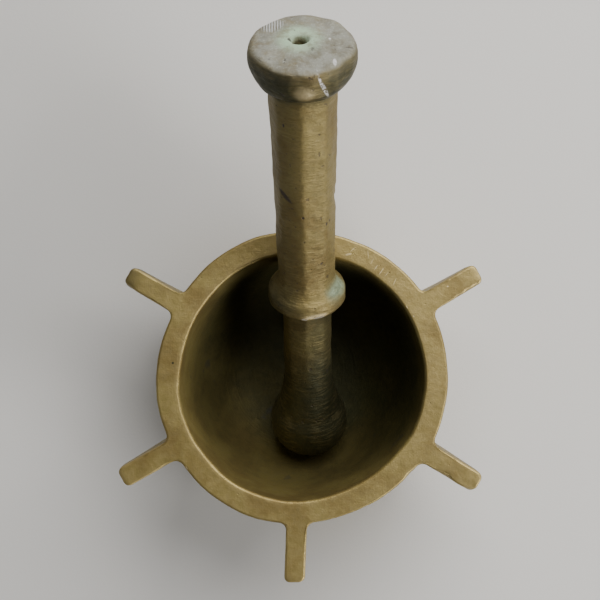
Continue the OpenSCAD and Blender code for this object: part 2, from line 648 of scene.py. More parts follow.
@dataclass(frozen=True)
class MortarBronze(OldBronze):
    """The mortar: filed rim, turned bowl, rough cast outside.

    Attributes:
        pinholes: Dark casting pinholes.
        scratches: Fresh scratches across the rim.
        chips: Bright chips on the end of the front rib, painted with a highlight.
    """

    name: str = "mortar_bronze"
    pinholes: tuple[Fleck, ...] = (
        Fleck((-52.7, 5.9, 73.0), (0.55, 0.5, 3.0)),
        Fleck((57.6, 21.5, 73.0), (0.35, 0.4, 3.0)),
        Fleck((20.5, -56.0, 73.0), (0.35, 0.3, 3.0)))
    scratches: tuple[Fleck, ...] = (
        Fleck((32.8, 43.5, 73.0), (1.9, 0.20, 3.0), (0.0, 0.0, 54.0)),
        Fleck((30.5, 45.0, 73.0), (1.3, 0.16, 3.0), (0.0, 0.0, 56.0)),
        Fleck((27.3, 50.5, 73.0), (2.0, 0.14, 3.0), (0.0, 0.0, -86.0)),
        Fleck((38.2, 39.2, 73.0), (1.8, 0.14, 3.0), (0.0, 0.0, 67.0)),
        Fleck((21.0, 52.4, 73.0), (1.4, 0.16, 3.0), (0.0, 0.0, 40.0)),
        Fleck((34.8, 42.2, 73.0), (1.3, 0.12, 3.0), (0.0, 0.0, 52.0)),
        Fleck((29.0, 47.6, 73.0), (1.5, 0.12, 3.0), (0.0, 0.0, 61.0)),
        Fleck((19.2, 50.4, 73.0), (1.4, 0.45, 3.0), (0.0, 0.0, 12.0)),
        Fleck((36.9, 33.8, 73.0), (1.1, 0.22, 3.0), (0.0, 0.0, -48.0)),
        Fleck((43.2, 28.8, 73.0), (0.8, 0.24, 3.0), (0.0, 0.0, -56.0)),
        Fleck((46.0, 25.0, 73.0), (0.5, 0.24, 3.0), (0.0, 0.0, -60.0)),
        Fleck((59.9, 37.3, 73.0), (0.4, 0.3, 3.0)),
        Fleck((-47.0, -37.0, 73.0), (0.9, 0.2, 3.0), (0.0, 0.0, -60.0)))
    chips: tuple[Fleck, ...] = (
        Fleck((1.6, -84.2, 72.6), (1.9, 0.9, 2.5)),
        Fleck((3.9, -80.5, 72.4), (0.40, 3.6, 2.5)))

    def build(self) -> bpy.types.Material:
        """Make the material.

        Returns:
            The finished material.
        """
        graph = Graph.new(self.name)
        where = graph.place()
        deep = graph.mark(Mark.DEEP_AND_SHADE)
        rings = graph.noise(graph.round_axis(where, 1.6, 900.0, 1100.0), 1.0, 3.0, 0.6)
        filed_along = graph.noise(graph.stretch(where, (260.0, 2600.0, 400.0)), 1.0, 2.0, 0.5)
        filed_across = graph.noise(graph.stretch(where, (1900.0, 240.0, 400.0)), 1.0, 2.0, 0.5)
        grain = graph.noise(where, 1500.0, 4.0, 0.65)
        lumps = graph.noise(where, 160.0, 3.0, 0.5)
        pits = graph.fade(graph.noise(where, 620.0, 2.0, 0.4), 0.21, 0.28)
        scratch = graph.maths("MULTIPLY", graph.maths("ADD", filed_along, filed_across), 0.5)
        turned = graph.maths("MULTIPLY", rings, deep)
        colour = self.metal_colour(graph, where)
        scuff = graph.fade(graph.noise(where, 95.0, 3.0, 0.55, 0.6), 0.66, 0.74)
        colour = graph.mix(graph.maths("MULTIPLY", scuff, graph.maths("MULTIPLY", deep, 0.55)),
                           colour, self.scuff)
        colour = graph.mix(graph.fade(pits, 0.0, 1.0, 0.5, 0.0), colour, self.dark)
        colour = graph.mix(graph.flecks(where, self.pinholes), colour, self.dark)
        fresh = graph.flecks(where, self.scratches)
        colour = graph.mix(graph.maths("MULTIPLY", fresh, 0.7), colour, self.gold)
        # The front rib's bright chips carry a painted highlight.
        chips_and_glint = graph.maths("MULTIPLY", graph.flecks(where, self.chips),
                              graph.fade(graph.noise(where, 700.0, 2.0, 0.5), 0.36, 0.54))
        colour = graph.mix(graph.maths("MULTIPLY", chips_and_glint, 0.7), colour, self.silver)
        rough = graph.total((grain, 0.16), (scratch, 0.14), (graph.mark(Mark.BARE_AND_LIT), -0.08), (deep, 0.06),
                            start=self.gloss - 0.12)
        normal = graph.bump((lumps, 0.30 * MM), (grain, 0.06 * MM), (scratch, 0.05 * MM),
                            (turned, 0.12 * MM), (pits, 0.08 * MM))
        return graph.finish(Base_Color=colour, Metallic=self.metal, Roughness=rough, Normal=normal)


@dataclass(frozen=True)
class PestleBronze(OldBronze):
    """The pestle: filed and hammered facets, bloom and verdigris on its butt.

    Attributes:
        gouges: Dark gouges and pinholes in the grip.
        glints: Painted highlights: bright scratches on the butt, painted as lit, and a highlight on the
            collar's lower edge.
        glint_strength: How bright the painted highlights are, from 0 to 1.
        rubs_and_highlights: A painted highlight on the collar's lower edge, and the butt's rubbed bright
            edge, partly painted light.
        filed: Where the butt's edge is filed into ridges.
        ridge_rate: Turns of the ridges' sine wave, in radians in a metre.
    """

    name: str = "pestle_bronze"
    bare: Colour = (0.385, 0.300, 0.128)
    tarnish: Colour = (0.235, 0.186, 0.060)
    brown: Colour = (0.220, 0.156, 0.053)
    gloss: float = 0.54
    gouges: tuple[Fleck, ...] = (
        Fleck((-7.6, -9.5, 127.0), (4.4, 5.0, 1.0), (0.0, 50.0, 0.0)),
        Fleck((8.2, -8.9, 112.6), (0.4, 3.0, 0.9)),
        Fleck((9.4, -8.0, 113.0), (0.3, 3.0, 0.8)),
        Fleck((-1.0, -12.0, 118.0), (0.6, 3.0, 0.7)),
        Fleck((6.0, -10.0, 93.5), (0.8, 3.0, 0.45), (0.0, -30.0, 0.0)),
        Fleck((-7.6, -10.0, 160.0), (0.5, 3.0, 1.0)),
        Fleck((-0.9, 0.0, 187.6), (1.6, 1.6, 2.0)),
        Fleck((-4.6, 0.2, 190.5), (0.8, 0.9, 3.0)))
    glints: tuple[Fleck, ...] = (
        Fleck((7.3, -17.0, 181.5), (7.2, 5.0, 0.75), (0.0, 72.0, 0.0)),
        Fleck((11.6, -12.5, 189.0), (0.8, 2.0, 3.0)),
        Fleck((-1.2, -15.2, 69.6), (1.4, 2.5, 0.9)),
        Fleck((4.6, -14.8, 69.9), (2.6, 2.5, 0.5), (0.0, -4.0, 0.0)),
        Fleck((10.2, 0.5, 190.5), (0.5, 0.6, 3.0)))
    glint_strength: float = 0.65
    rubs_and_highlights: tuple[Fleck, ...] = (
        Fleck((3.4, -15.2, 70.2), (6.4, 2.5, 1.9), (0.0, -4.0, 0.0)),
        Fleck((0.6, -16.0, 180.0), (4.8, 5.0, 5.0)))
    filed: Fleck = Fleck((-10.8, 10.6, 190.0), (4.4, 5.0, 4.0))
    ridge_rate: float = 6200.0

    def build(self) -> bpy.types.Material:
        """Make the material.

        Returns:
            The finished material.
        """
        graph = Graph.new(self.name)
        where = graph.upright()
        cross = graph.noise(graph.round_axis(where, 9.0, 60.0, 1500.0), 1.0, 3.0, 0.6, 0.3)
        ripples = graph.noise(graph.stretch(where, (110.0, 110.0, 300.0)), 1.0, 2.0, 0.5, 0.8)
        strokes = graph.noise(graph.stretch(where, (170.0, 170.0, 1100.0)), 1.0, 2.0, 0.5, 0.5)
        strokes = graph.maths("MULTIPLY", graph.fade(strokes, 0.40, 0.70),
                              graph.fade(graph.noise(where, 70.0, 2.0, 0.5), 0.34, 0.56))
        grain = graph.noise(where, 1400.0, 4.0, 0.65)
        lumps = graph.noise(where, 210.0, 3.0, 0.55)
        pits = graph.fade(graph.noise(where, 430.0, 2.0, 0.4), 0.25, 0.32)
        parts = graph.add("ShaderNodeSeparateXYZ")
        graph.put(parts.inputs[0], where)
        ridges = graph.maths("SINE", graph.maths("MULTIPLY", parts.outputs["X"], self.ridge_rate))
        ridges = graph.maths("MULTIPLY", graph.fade(ridges, -0.6, 0.8), graph.fleck(where, self.filed))
        colour = self.metal_colour(graph, where)
        colour = graph.mix(graph.maths("MULTIPLY", strokes, 0.18), colour, self.bare)
        colour = graph.mix(graph.fade(cross, 0.52, 0.30, 0.0, 0.25), colour, self.dark)
        veil = graph.noise(where, 230.0, 5.0, 0.7, 0.3)
        pale = graph.maths("MULTIPLY", graph.mark(Mark.PALE), graph.fade(veil, 0.33, 0.60, 0.55, 1.05))
        pale = graph.maths("ADD", pale, graph.maths("MULTIPLY", ridges, 0.8), clamp=True)
        tint = graph.mix(graph.fade(graph.noise(where, 120.0, 3.0, 0.6), 0.4, 0.62), self.pale,
                         self.lilac)
        speck = graph.fade(graph.noise(where, 900.0, 3.0, 0.6), 0.50, 0.66, 0.0, 0.5)
        colour = graph.mix(pale, colour, graph.mix(speck, tint, self.bloom))
        colour = graph.mix(graph.maths("MULTIPLY", ridges, 0.7), colour, self.silver)
        green = graph.maths("MULTIPLY", graph.mark(Mark.GREEN), graph.fade(veil, 0.36, 0.58, 0.55, 1.1),
                            clamp=True)
        colour = graph.mix(green, colour, self.green)
        gouge = graph.flecks(where, self.gouges)
        hurt = graph.maths("MAXIMUM", gouge, graph.fade(pits, 0.0, 1.0, 0.6, 0.0))
        colour = graph.mix(graph.maths("MULTIPLY", hurt, 0.85), colour, self.wound)
        # A painted highlight in gold on the collar's lower edge, and the butt's rubbed edge, partly
        # painted light.
        colour = graph.mix(graph.maths("MULTIPLY", graph.flecks(where, self.rubs_and_highlights), 0.6), colour, self.gold)
        # Painted highlights: bright scratches on the butt and a highlight on the collar's edge, made pale
        # and less metallic so that they read as lit.
        broken = graph.fade(graph.noise(where, 800.0, 2.0, 0.5), 0.36, 0.50)
        glint = graph.maths("MULTIPLY", graph.flecks(where, self.glints), broken)
        glint = graph.maths("MULTIPLY", glint, self.glint_strength)
        colour = graph.mix(glint, colour, self.silver)
        metal = graph.total((pale, -0.35), (green, -0.6), (glint, -0.4), start=self.metal)
        metal = graph.maths("ADD", metal, 0.0, clamp=True)
        rough = graph.total((grain, 0.16), (cross, 0.10), (graph.mark(Mark.BARE_AND_LIT), -0.16), (green, 0.25),
                            (pale, 0.14), (glint, -0.2), start=self.gloss - 0.08)
        dug = graph.fade(gouge, 0.0, 1.0, 1.0, 0.0)
        normal = graph.bump((lumps, 0.30 * MM), (ripples, 0.30 * MM), (strokes, 0.10 * MM),
                            (cross, 0.06 * MM), (grain, 0.05 * MM), (pits, 0.12 * MM),
                            (dug, 0.20 * MM), (ridges, 0.35 * MM))
        return graph.finish(Base_Color=colour, Metallic=metal, Roughness=rough, Normal=normal)


@dataclass(frozen=True)
class PaleFloor:
    """Plain pale paper for the floor.

    Attributes:
        name: Name of the material.
        colour: Colour of the paper.
    """

    name: str = "pale_floor"
    colour: Colour = (0.72, 0.71, 0.69)

    def build(self) -> bpy.types.Material:
        """Make the material.

        Returns:
            The finished material.
        """
        graph = Graph.new(self.name)
        tooth = graph.noise(graph.place(), 900.0, 2.0, 0.5)
        return graph.finish(Base_Color=self.colour, Roughness=0.85,
                            Normal=graph.bump((tooth, 0.04 * MM)))


@dataclass(frozen=True)
class RibTrim:
    """How one cast rib strays from its true place.

    Attributes:
        turn: Turn about the mortar's axis, in degrees, anticlockwise from above.
        short: How much it falls short of the full reach.
    """

    turn: float
    short: float


@dataclass(frozen=True)
class Chip:
    """A chip on an edge of a rib's top, in millimetres.

    Attributes:
        rib: Number of the rib, anticlockwise from the front one, 0.
        along: Its distance from the mortar's axis, along the rib.
        across: Its distance from the rib's middle, anticlockwise.
        size: Radius of the chip.
        depth: How far it goes in from the side.
    """

    rib: int
    along: float
    across: float
    size: float
    depth: float


@dataclass
class MortarCasting:
    """The mortar: bowl, flat rim, six ribs and foot, as one closed casting.

    The sizes repeat the CAD model's. Those that its boxes give are read from the frame.

    Attributes:
        rim_r: Outer radius of the rim, without the ribs.
        rim_z: Height of the rim.
        reach: Reach of a rib from the axis, at the rim.
        rim_w: Width of the flat rim.
        bowl_depth: Depth of the bowl below the rim.
        bowl_taper: How much the bowl narrows for each metre of depth.
        bowl_power: Squareness of the bowl's lower corner.
        inner_edge: Radius of the rim's worn inner edge.
        outer_edge: Radius of its outer edge, and of the ribs' edges.
        lip_h: Height of the band of full diameter under the rim.
        lip_run: Height over which the band draws in to the wall.
        lip_in: How far it draws in.
        waist_r: Radius of the wall just above the foot.
        foot_r: Radius of the foot.
        foot_h: Height of the foot's straight edge.
        foot_run: Height over which the wall spreads to the foot.
        foot_ring_r: Inner radius of the ring that the mortar stands on.
        foot_recess: Depth of the hollow under the foot.
        rib_count: Number of ribs.
        rib_start: Angle of the front rib, in degrees.
        rib_half: Half a rib's thickness.
        rib_foot_reach: Reach of a rib at the foot.
        rib_straight: Height of a rib's upright end, below the rim.
        rib_fillet: Radius of the fillet between a rib and the wall.
        rib_corner: Radius of the corners at a rib's outer end.
        rib_lift: How far a rib's lower end stays above the ground.
        sweep_power: How fast a rib sweeps in on its way down.
        end_steps: Points across half a rib's end.
        corner_steps: Points round its corner.
        side_steps: Points along its side.
        fillet_steps: Points round its fillet.
        gap_steps: Points across half the gap between two ribs.
        out_of_round: Size, number of lobes and phase of each wave in the casting's radius.
        trims: How each rib strays.
        chips: Chips on the ribs' edges.
    """

    rim_r: float = 60.0 * MM
    rim_z: float = 73.0 * MM
    reach: float = 85.0 * MM
    rim_w: float = 9.6 * MM
    bowl_depth: float = 61.0 * MM
    bowl_taper: float = 0.12
    bowl_power: float = 3.8
    inner_edge: float = 1.2 * MM
    outer_edge: float = 0.9 * MM
    lip_h: float = 9.0 * MM
    lip_run: float = 7.0 * MM
    lip_in: float = 6.0 * MM
    waist_r: float = 46.0 * MM
    foot_r: float = 52.0 * MM
    foot_h: float = 7.0 * MM
    foot_run: float = 6.0 * MM
    foot_ring_r: float = 43.0 * MM
    foot_recess: float = 1.5 * MM
    rib_count: int = 6
    rib_start: float = -90.0
    rib_half: float = 4.3 * MM
    rib_foot_reach: float = 57.0 * MM
    rib_straight: float = 14.0 * MM
    rib_fillet: float = 3.4 * MM
    rib_corner: float = 2.6 * MM
    rib_lift: float = 1.0 * MM
    sweep_power: float = 1.6
    end_steps: int = 3
    corner_steps: int = 5
    side_steps: int = 15
    fillet_steps: int = 6
    gap_steps: int = 13
    out_of_round: tuple[tuple[float, float, float], ...] = (
        (0.50 * MM, 2.0, -1.9), (0.35 * MM, 3.0, 0.4), (0.22 * MM, 5.0, 2.2))
    trims: tuple[RibTrim, ...] = (
        RibTrim(-2.0, 0.9 * MM), RibTrim(-1.2, 0.0), RibTrim(0.6, 0.9 * MM),
        RibTrim(0.0, 0.6 * MM), RibTrim(-0.6, 1.8 * MM), RibTrim(-0.6, 1.0 * MM))
    chips: tuple[Chip, ...] = (
        Chip(1, 72.0, -4.3, 1.9, 0.9), Chip(1, 68.5, -4.4, 1.4, 0.6), Chip(1, 83.0, -3.2, 2.4, 1.1),
        Chip(2, 77.0, -4.3, 1.3, 0.7), Chip(2, 72.5, -4.4, 1.2, 0.6), Chip(2, 80.5, -4.1, 1.6, 0.5),
        Chip(2, 64.0, -6.0, 1.3, 0.6), Chip(4, 80.0, 4.1, 2.2, 0.7), Chip(5, 66.0, 4.4, 2.0, 0.5))

    def __post_init__(self) -> None:
        """Read the rim and the ribs' reach from the frame."""
        self.rim_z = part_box("mortar_vessel")[1].z
        self.reach = -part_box("mortar_rib_1")[0].y
        self.bowl_r = self.rim_r - self.rim_w

    def wall_radius(self, z: Array) -> Array:
        """Outside radius of the wall: rim band, cove, tapering wall and spreading foot.

        Args:
            z: Heights above the ground.

        Returns:
            The radius at each height.
        """
        under = self.rim_z - self.lip_h
        top_wall = self.rim_r - self.lip_in
        low_wall = self.foot_h + self.foot_run
        share = (z - low_wall) / (under - self.lip_run - low_wall)
        wall = self.waist_r + (top_wall - self.waist_r) * np.clip(share, 0.0, 1.0)
        wall = wall + (self.foot_r - self.waist_r) * smooth_step(low_wall, self.foot_h, z)
        return wall + self.lip_in * smooth_step(under - self.lip_run, under, z)

    def rib_reach_at(self, z: Array) -> Array:
        """Reach of the ribs: straight below the rim, then sweeping in to the foot.

        The sweep is one minus the share of the way down, to the power sweep_power.

        Args:
            z: Heights above the ground.

        Returns:
            The reach at each height.
        """
        top = self.rim_z - self.rib_straight
        down = np.clip((top - z) / top, 0.0, 1.0)
        sweep = (self.reach - self.rib_foot_reach) * (1.0 - down) ** self.sweep_power
        return self.rib_foot_reach + sweep

    def outline(self, wall: Array, reach: Array, inset: Array) -> Array:
        """Plan of wall and ribs at several levels, all with the same points.

        Half a sector runs from the middle of a rib's end to the middle of a gap: flat end,
        corner arc, side, fillet arc and wall arc, with the same share of points at every
        level. The other half is its mirror image, and the sector is turned to every rib.

        Args:
            wall: Wall radius of each level.
            reach: Rib reach of each level.
            inset: How far the whole outline is drawn in at each level.

        Returns:
            Array (levels, points, 2), anticlockwise, starting at the first rib's end.
        """
        wall, reach, inset = (np.asarray(v, dtype=float)[:, None] for v in (wall, reach, inset))
        wall, reach = wall - inset, reach - inset
        half = self.rib_half - inset
        corner = self.rib_corner - np.minimum(inset, self.rib_corner * 0.6)
        fillet = self.rib_fillet + inset
        centre_y = half + fillet
        centre_x = np.sqrt((wall + fillet) ** 2 - centre_y ** 2)
        root = np.arctan2(centre_y, centre_x)

        t = shares(self.end_steps)
        x = [reach + 0.0 * t]
        y = [(half - corner) * t]
        t = shares(self.corner_steps) * math.pi / 2.0
        x.append(reach - corner + corner * np.cos(t))
        y.append(half - corner + corner * np.sin(t))
        t = shares(self.side_steps)
        x.append((reach - corner) + (centre_x - reach + corner) * t)
        y.append(half + 0.0 * t)
        turn = 1.5 * math.pi - (0.5 * math.pi - root) * shares(self.fillet_steps)
        x.append(centre_x + fillet * np.cos(turn))
        y.append(centre_y + fillet * np.sin(turn))
        gap = math.pi / self.rib_count
        angle = root + (gap - root) * (np.arange(self.gap_steps + 1) / self.gap_steps)[None, :]
        x.append(wall * np.cos(angle))
        y.append(wall * np.sin(angle))
        x, y = np.concatenate(x, axis=1), np.concatenate(y, axis=1)
        sector_x = np.concatenate([x[:, :0:-1], x], axis=1)
        sector_y = np.concatenate([-y[:, :0:-1], y], axis=1)
        whole = []
        for k in range(self.rib_count):
            a = math.radians(self.rib_start + 360.0 / self.rib_count * k)
            rib_x = sector_x * math.cos(a) - sector_y * math.sin(a)
            rib_y = sector_x * math.sin(a) + sector_y * math.cos(a)
            whole.append(np.stack([rib_x, rib_y], axis=-1)[:, :-1])
        return np.concatenate(whole, axis=1)

    def circle(self, radius: Array) -> Array:
        """Rings of evenly spaced points that pair up with the outline's points.

        Args:
            radius: Radius of each ring.

        Returns:
            Array (rings, points, 2).
        """
        half = self.end_steps + self.corner_steps + self.side_steps + self.fillet_steps + self.gap_steps
        count = 2 * half * self.rib_count
        turn = 2.0 * math.pi / count
        angle = math.radians(self.rib_start) + turn * (np.arange(count) - half)
        ring = np.stack([np.cos(angle), np.sin(angle)], axis=-1)
        return np.asarray(radius, dtype=float)[:, None, None] * ring[None]

    def spread(self, inner: Array, outline: Array, bend_r: float, turning: int, going: int) -> Array:
        """Rings across a flat face, from a circle out to an outline with ribs.

        First each point swings round, as it goes out to radius bend_r, until the points that
        belong to a rib stand side by side at its root. From there it goes straight to its
        place on the outline. No two paths cross.

        Args:
            inner: The circle's points (points, 2).
            outline: The outline's points (points, 2).
            bend_r: Radius at which the swing ends.
            turning: Number of rings of the swing.
            going: Number of rings beyond it, the outline left out.

        Returns:
            Array (turning + going, points, 2), the circle left out.
        """
        count = len(outline)
        per_rib = count // self.rib_count
        half = per_rib // 2
        near = np.abs(np.arange(count) % per_rib - half)
        rib_points = self.end_steps + self.corner_steps + self.side_steps + self.fillet_steps
        start_angle = np.unwrap(np.arctan2(inner[:, 1], inner[:, 0]))
        sector = 2.0 * math.pi / self.rib_count
        centre = math.radians(self.rib_start) + sector * (np.arange(count) // per_rib)
        offset = np.arange(count) % per_rib - half
        end_angle = np.unwrap(np.arctan2(outline[:, 1], outline[:, 0]))
        end_angle += 2.0 * math.pi * np.round((start_angle - end_angle) / (2.0 * math.pi))
        root = np.abs(end_angle - centre)[near == rib_points].mean()
        at_rib = near < rib_points
        end_angle = np.where(at_rib, centre + root * offset / rib_points, end_angle)
        t = (np.arange(1, turning + 1) / turning)[:, None]
        radius = np.linalg.norm(inner, axis=1)[None] * (1.0 - t) + bend_r * t
        angle = start_angle * (1.0 - t) + end_angle * t
        swing = np.stack([radius * np.cos(angle), radius * np.sin(angle)], axis=-1)
        t = (np.arange(1, going + 1) / (going + 1))[:, None, None]
        return np.concatenate([swing, swing[-1][None] * (1.0 - t) + outline[None] * t])

    def level(self, plan: Array, z: Array) -> Array:
        """Plan points lifted to a height for each ring.

        Args:
            plan: Array (rings, points, 2).
            z: Height of each ring.

        Returns:
            Array (rings, points, 3).
        """
        height = np.broadcast_to(np.asarray(z, dtype=float)[:, None], plan.shape[:2])
        return np.concatenate([plan, height[..., None]], axis=-1)

    def bowl_rings(self) -> Array:
        """Rings from the floor up to the rim's worn inner edge.

        The bowl's radius is a narrowing wall times a superellipse in the depth.

        Returns:
            Array (rings, points, 3).
        """
        power = self.bowl_power
        share = np.linspace(0.05, 0.80, 18)
        floor_depth = self.bowl_depth * (1.0 - share ** power) ** (1.0 / power)
        wall_depth = np.linspace(floor_depth[-1], self.inner_edge, 34)[1:]
        depth = np.concatenate([floor_depth, wall_depth])
        fill = (1.0 - (depth / self.bowl_depth) ** power) ** (1.0 / power)
        bowl = self.level(self.circle((self.bowl_r - self.bowl_taper * depth) * fill), self.rim_z - depth)
        turn = np.radians([25.0, 50.0, 75.0, 90.0])
        radius = self.bowl_r + self.inner_edge * (1.0 - np.cos(turn))
        edge = self.level(self.circle(radius), self.rim_z - self.inner_edge * (1.0 - np.sin(turn)))
        return np.concatenate([bowl, edge])

    def rim_rings(self) -> Array:
        """Rings across the flat rim and the tops of the ribs, and over their outer edge.

        Returns:
            Array (rings, points, 3).
        """
        wall, reach = np.array([self.rim_r]), np.array([self.reach])
        edge = self.outline(wall, reach, np.array([self.outer_edge]))[0]
        inner = self.circle(np.array([self.bowl_r + self.inner_edge]))[0]
        flat = self.spread(inner, edge, self.rim_r - 2.6 * MM, 6, 13)
        flat = np.concatenate([flat, edge[None]])
        turn = np.radians([30.0, 60.0, 90.0])
        inset = self.outer_edge * (1.0 - np.sin(turn))
        over = self.outline(np.full(3, self.rim_r), np.full(3, self.reach), inset)
        return np.concatenate([
            self.level(flat, np.full(len(flat), self.rim_z)),
            self.level(over, self.rim_z - self.outer_edge * (1.0 - np.cos(turn)))])

    def side_rings(self) -> Array:
        """Rings down the outside, from under the rim to the foot's lower edge.

        Returns:
            Array (rings, points, 3).
        """
        edge = self.outer_edge
        z = np.concatenate([
            np.linspace(self.rim_z - edge, self.rim_z - self.lip_h - self.lip_run, 13)[1:],
            np.linspace(self.rim_z - self.lip_h - self.lip_run, self.foot_h + self.foot_run, 24)[1:],
            np.linspace(self.foot_h + self.foot_run, edge, 11)[1:]])
        side = self.level(self.outline(self.wall_radius(z), self.rib_reach_at(z), np.zeros(len(z))), z)
        turn = np.radians([30.0, 60.0, 90.0])
        low = np.full(3, edge)
        under = self.outline(self.wall_radius(low), self.rib_reach_at(low), edge * (1.0 - np.cos(turn)))
        return np.concatenate([side, self.level(under, edge * (1.0 - np.sin(turn)))])

    def foot_rings(self, edge: Array) -> Array:
        """Rings under the foot, from its edge to the middle of its shallow hollow.

        Args:
            edge: The foot's lowest outline (points, 2).

        Returns:
            Array (rings, points, 3).
        """
        inner = self.circle(np.array([self.foot_ring_r]))[0]
        flat = self.spread(inner, edge, self.foot_r - 4.0 * MM, 2, 4)[::-1]
        flat = np.concatenate([flat, inner[None]])
        step = self.foot_recess * np.array([0.5, 1.0])
        slope = self.foot_ring_r - 3.0 * step
        hollow = np.concatenate([slope, np.linspace(slope[-1], 1.0 * MM, 9)[1:]])
        rise = np.concatenate([step, np.full(8, self.foot_recess)])
        return np.concatenate([self.level(flat, np.zeros(len(flat))),
                               self.level(self.circle(hollow), rise)])

    def age(self, points: Array) -> Array:
        """Points of the true form, moved as casting, filing and use left them.

        Args:
            points: Array (rings, points, 3).

        Returns:
            The moved points.
        """
        x, y, z = points[..., 0], points[..., 1], points[..., 2]
        radius, angle = np.hypot(x, y), np.arctan2(y, x)
        out = smooth_step(self.bowl_r, self.rim_r, radius)
        rib = smooth_step(self.rim_r - 2.0 * MM, self.rim_r + 12.0 * MM, radius)
        turn, short = np.zeros_like(x), np.zeros_like(x)
        for k, trim in enumerate(self.trims):
            centre = math.radians(self.rib_start + 360.0 / self.rib_count * k)
            away = np.angle(np.exp(1j * (angle - centre)))
            near = bell(away, math.radians(17.0))
            turn += math.radians(trim.turn) * near * out
            short += trim.short * bell(away, math.radians(9.0)) * rib
        round_off = sum(size * np.cos(lobes * angle + phase) for size, lobes, phase in self.out_of_round)
        radius = radius - short + round_off * smooth_step(25.0 * MM, 50.0 * MM, radius)
        angle = angle + turn
        moved = np.stack([radius * np.cos(angle), radius * np.sin(angle), z], axis=-1)
        lumps = (Unevenness(26.0 * MM, 0.16 * MM, 11).at(moved)
                 + Unevenness(9.0 * MM, 0.05 * MM, 12).at(moved))
        lumps = lumps * smooth_step(0.0, 4.0 * MM, z)
        moved[..., :2] *= (1.0 + lumps / np.maximum(radius, 8.0 * MM))[..., None]
        top = smooth_step(self.rim_z - 3.0 * MM, self.rim_z, z)
        moved[..., 2] += top * (Unevenness(34.0 * MM, 0.10 * MM, 13).at(moved) - 0.12 * MM)
        for dent in self.dents():
            moved = dent.press(moved)
        return moved

    def dents(self) -> list[Dent]:
        """The chips on the ribs' edges, and one more on the rim's edge.

        Returns:
            The dents in the row frame.
        """
        made = []
        for chip in self.chips:
            turn = self.rib_start + 360.0 / self.rib_count * chip.rib + self.trims[chip.rib].turn
            a = math.radians(turn)
            x = chip.along * math.cos(a) - chip.across * math.sin(a)
            y = chip.along * math.sin(a) + chip.across * math.cos(a)
            sideways = math.copysign(chip.depth * MM, chip.across)
            push = (sideways * math.sin(a), -sideways * math.cos(a), -0.4 * chip.depth * MM)
            made.append(Dent((x * MM, y * MM, self.rim_z), chip.size * MM, push))
        a = math.radians(-42.0)
        made.append(Dent((self.rim_r * math.cos(a), self.rim_r * math.sin(a), self.rim_z), 1.5 * MM,
                         (-0.7 * math.cos(a) * MM, -0.7 * math.sin(a) * MM, -0.4 * MM)))
        return made

    def wear(self, ideal: Array) -> dict[Mark, Array]:
        """Where the casting is rubbed bare, deep and dirty, and where light and shade are painted, from
        its true form.

        The rim, the lip's edge and the ribs' edges are rubbed; the rim's top and the lip's edge are
        brighter on their lit sides, as painted light. The bowl darkens with depth, partly as dirt and
        partly as painted shade, less on its lit side, and its floor carries dirt and a painted shadow.

        Args:
            ideal: Ring points of the true form.

        Returns:
            The weight of each mark.
        """
        x, y, z = ideal[..., 0], ideal[..., 1], ideal[..., 2]
        radius, angle = np.hypot(x, y), np.arctan2(y, x)
        row = np.arange(len(ideal))[:, None] + np.zeros_like(x)
        bowl_rows = len(self.bowl_rings())
        rim_rows = len(self.rim_rings())
        inside = (row < bowl_rows - 3).astype(float)
        on_top = ((row >= bowl_rows - 1) & (row < bowl_rows + rim_rows - 2)).astype(float)
        # The lip's worn edge is brighter on the west, where it faces the light: painted highlight on real
        # wear.
        west = 0.5 - 0.5 * np.cos(angle)
        lip_edge = bell(row - (bowl_rows - 2), 1.6) * (0.12 + 0.38 * smooth_step(0.2, 0.9, west))
        rib_edge = bell(row - (bowl_rows + rim_rows - 2), 1.4) * smooth_step(60.0 * MM, 70.0 * MM, radius)
        # The rim's top is brighter on the east, its lit side: painted light on real wear.
        east = 0.5 + 0.5 * np.cos(angle - 0.5)
        bare = on_top * (0.20 + 0.35 * east) + lip_edge + 0.6 * rib_edge
        # The inside wall is a little brighter towards the rim.
        bare = bare + 0.15 * inside * smooth_step(self.rim_z - 22.0 * MM, self.rim_z, z)
        # Painted shade in the bowl: the deep mark darkens with depth, partly as dirt, and less on the lit
        # west side and on the lit front of the lower wall.
        lit_side = 0.5 - 0.5 * np.cos(angle - math.radians(18.0))
        depth = smooth_step(self.rim_z - 2.0 * MM, self.rim_z - 42.0 * MM, z)
        below_lip = smooth_step(self.rim_z, self.rim_z - 12.0 * MM, z)
        front = smooth_step(0.2, 0.9, -np.sin(angle)) * smooth_step(28.0 * MM, 38.0 * MM, radius)
        deep = depth * (1.0 - 0.45 * lit_side) + 0.55 * (1.0 - lit_side) + 0.14 * below_lip
        deep = inside * (1.0 - 0.42 * front) * np.clip(deep, 0.0, 1.0)
        # Outside, darker under the rim band and just above the foot.
        outside = (row >= bowl_rows + rim_rows).astype(float)
        grime_and_shade = outside * (0.10 + 0.30 * bell(z - (self.rim_z - self.lip_h - 4.0 * MM), 5.0 * MM)
                           + 0.30 * bell(z - (self.foot_h + self.foot_run), 4.0 * MM))
        # Painted shade on the unlit east wall under the lip, and dirt with a painted shadow on the floor,
        # heaviest at the back.
        dirt_and_shade = smooth_step(0.65, 1.0, east) * bell(row - (bowl_rows - 3), 1.3) * 0.55
        back = smooth_step(-0.3, 0.6, np.sin(angle))
        dirt_and_shade = dirt_and_shade + inside * (0.62 * smooth_step(36.0 * MM, 22.0 * MM, radius) * (1.0 - back)
                              + 0.80 * smooth_step(44.0 * MM, 26.0 * MM, radius) * back)
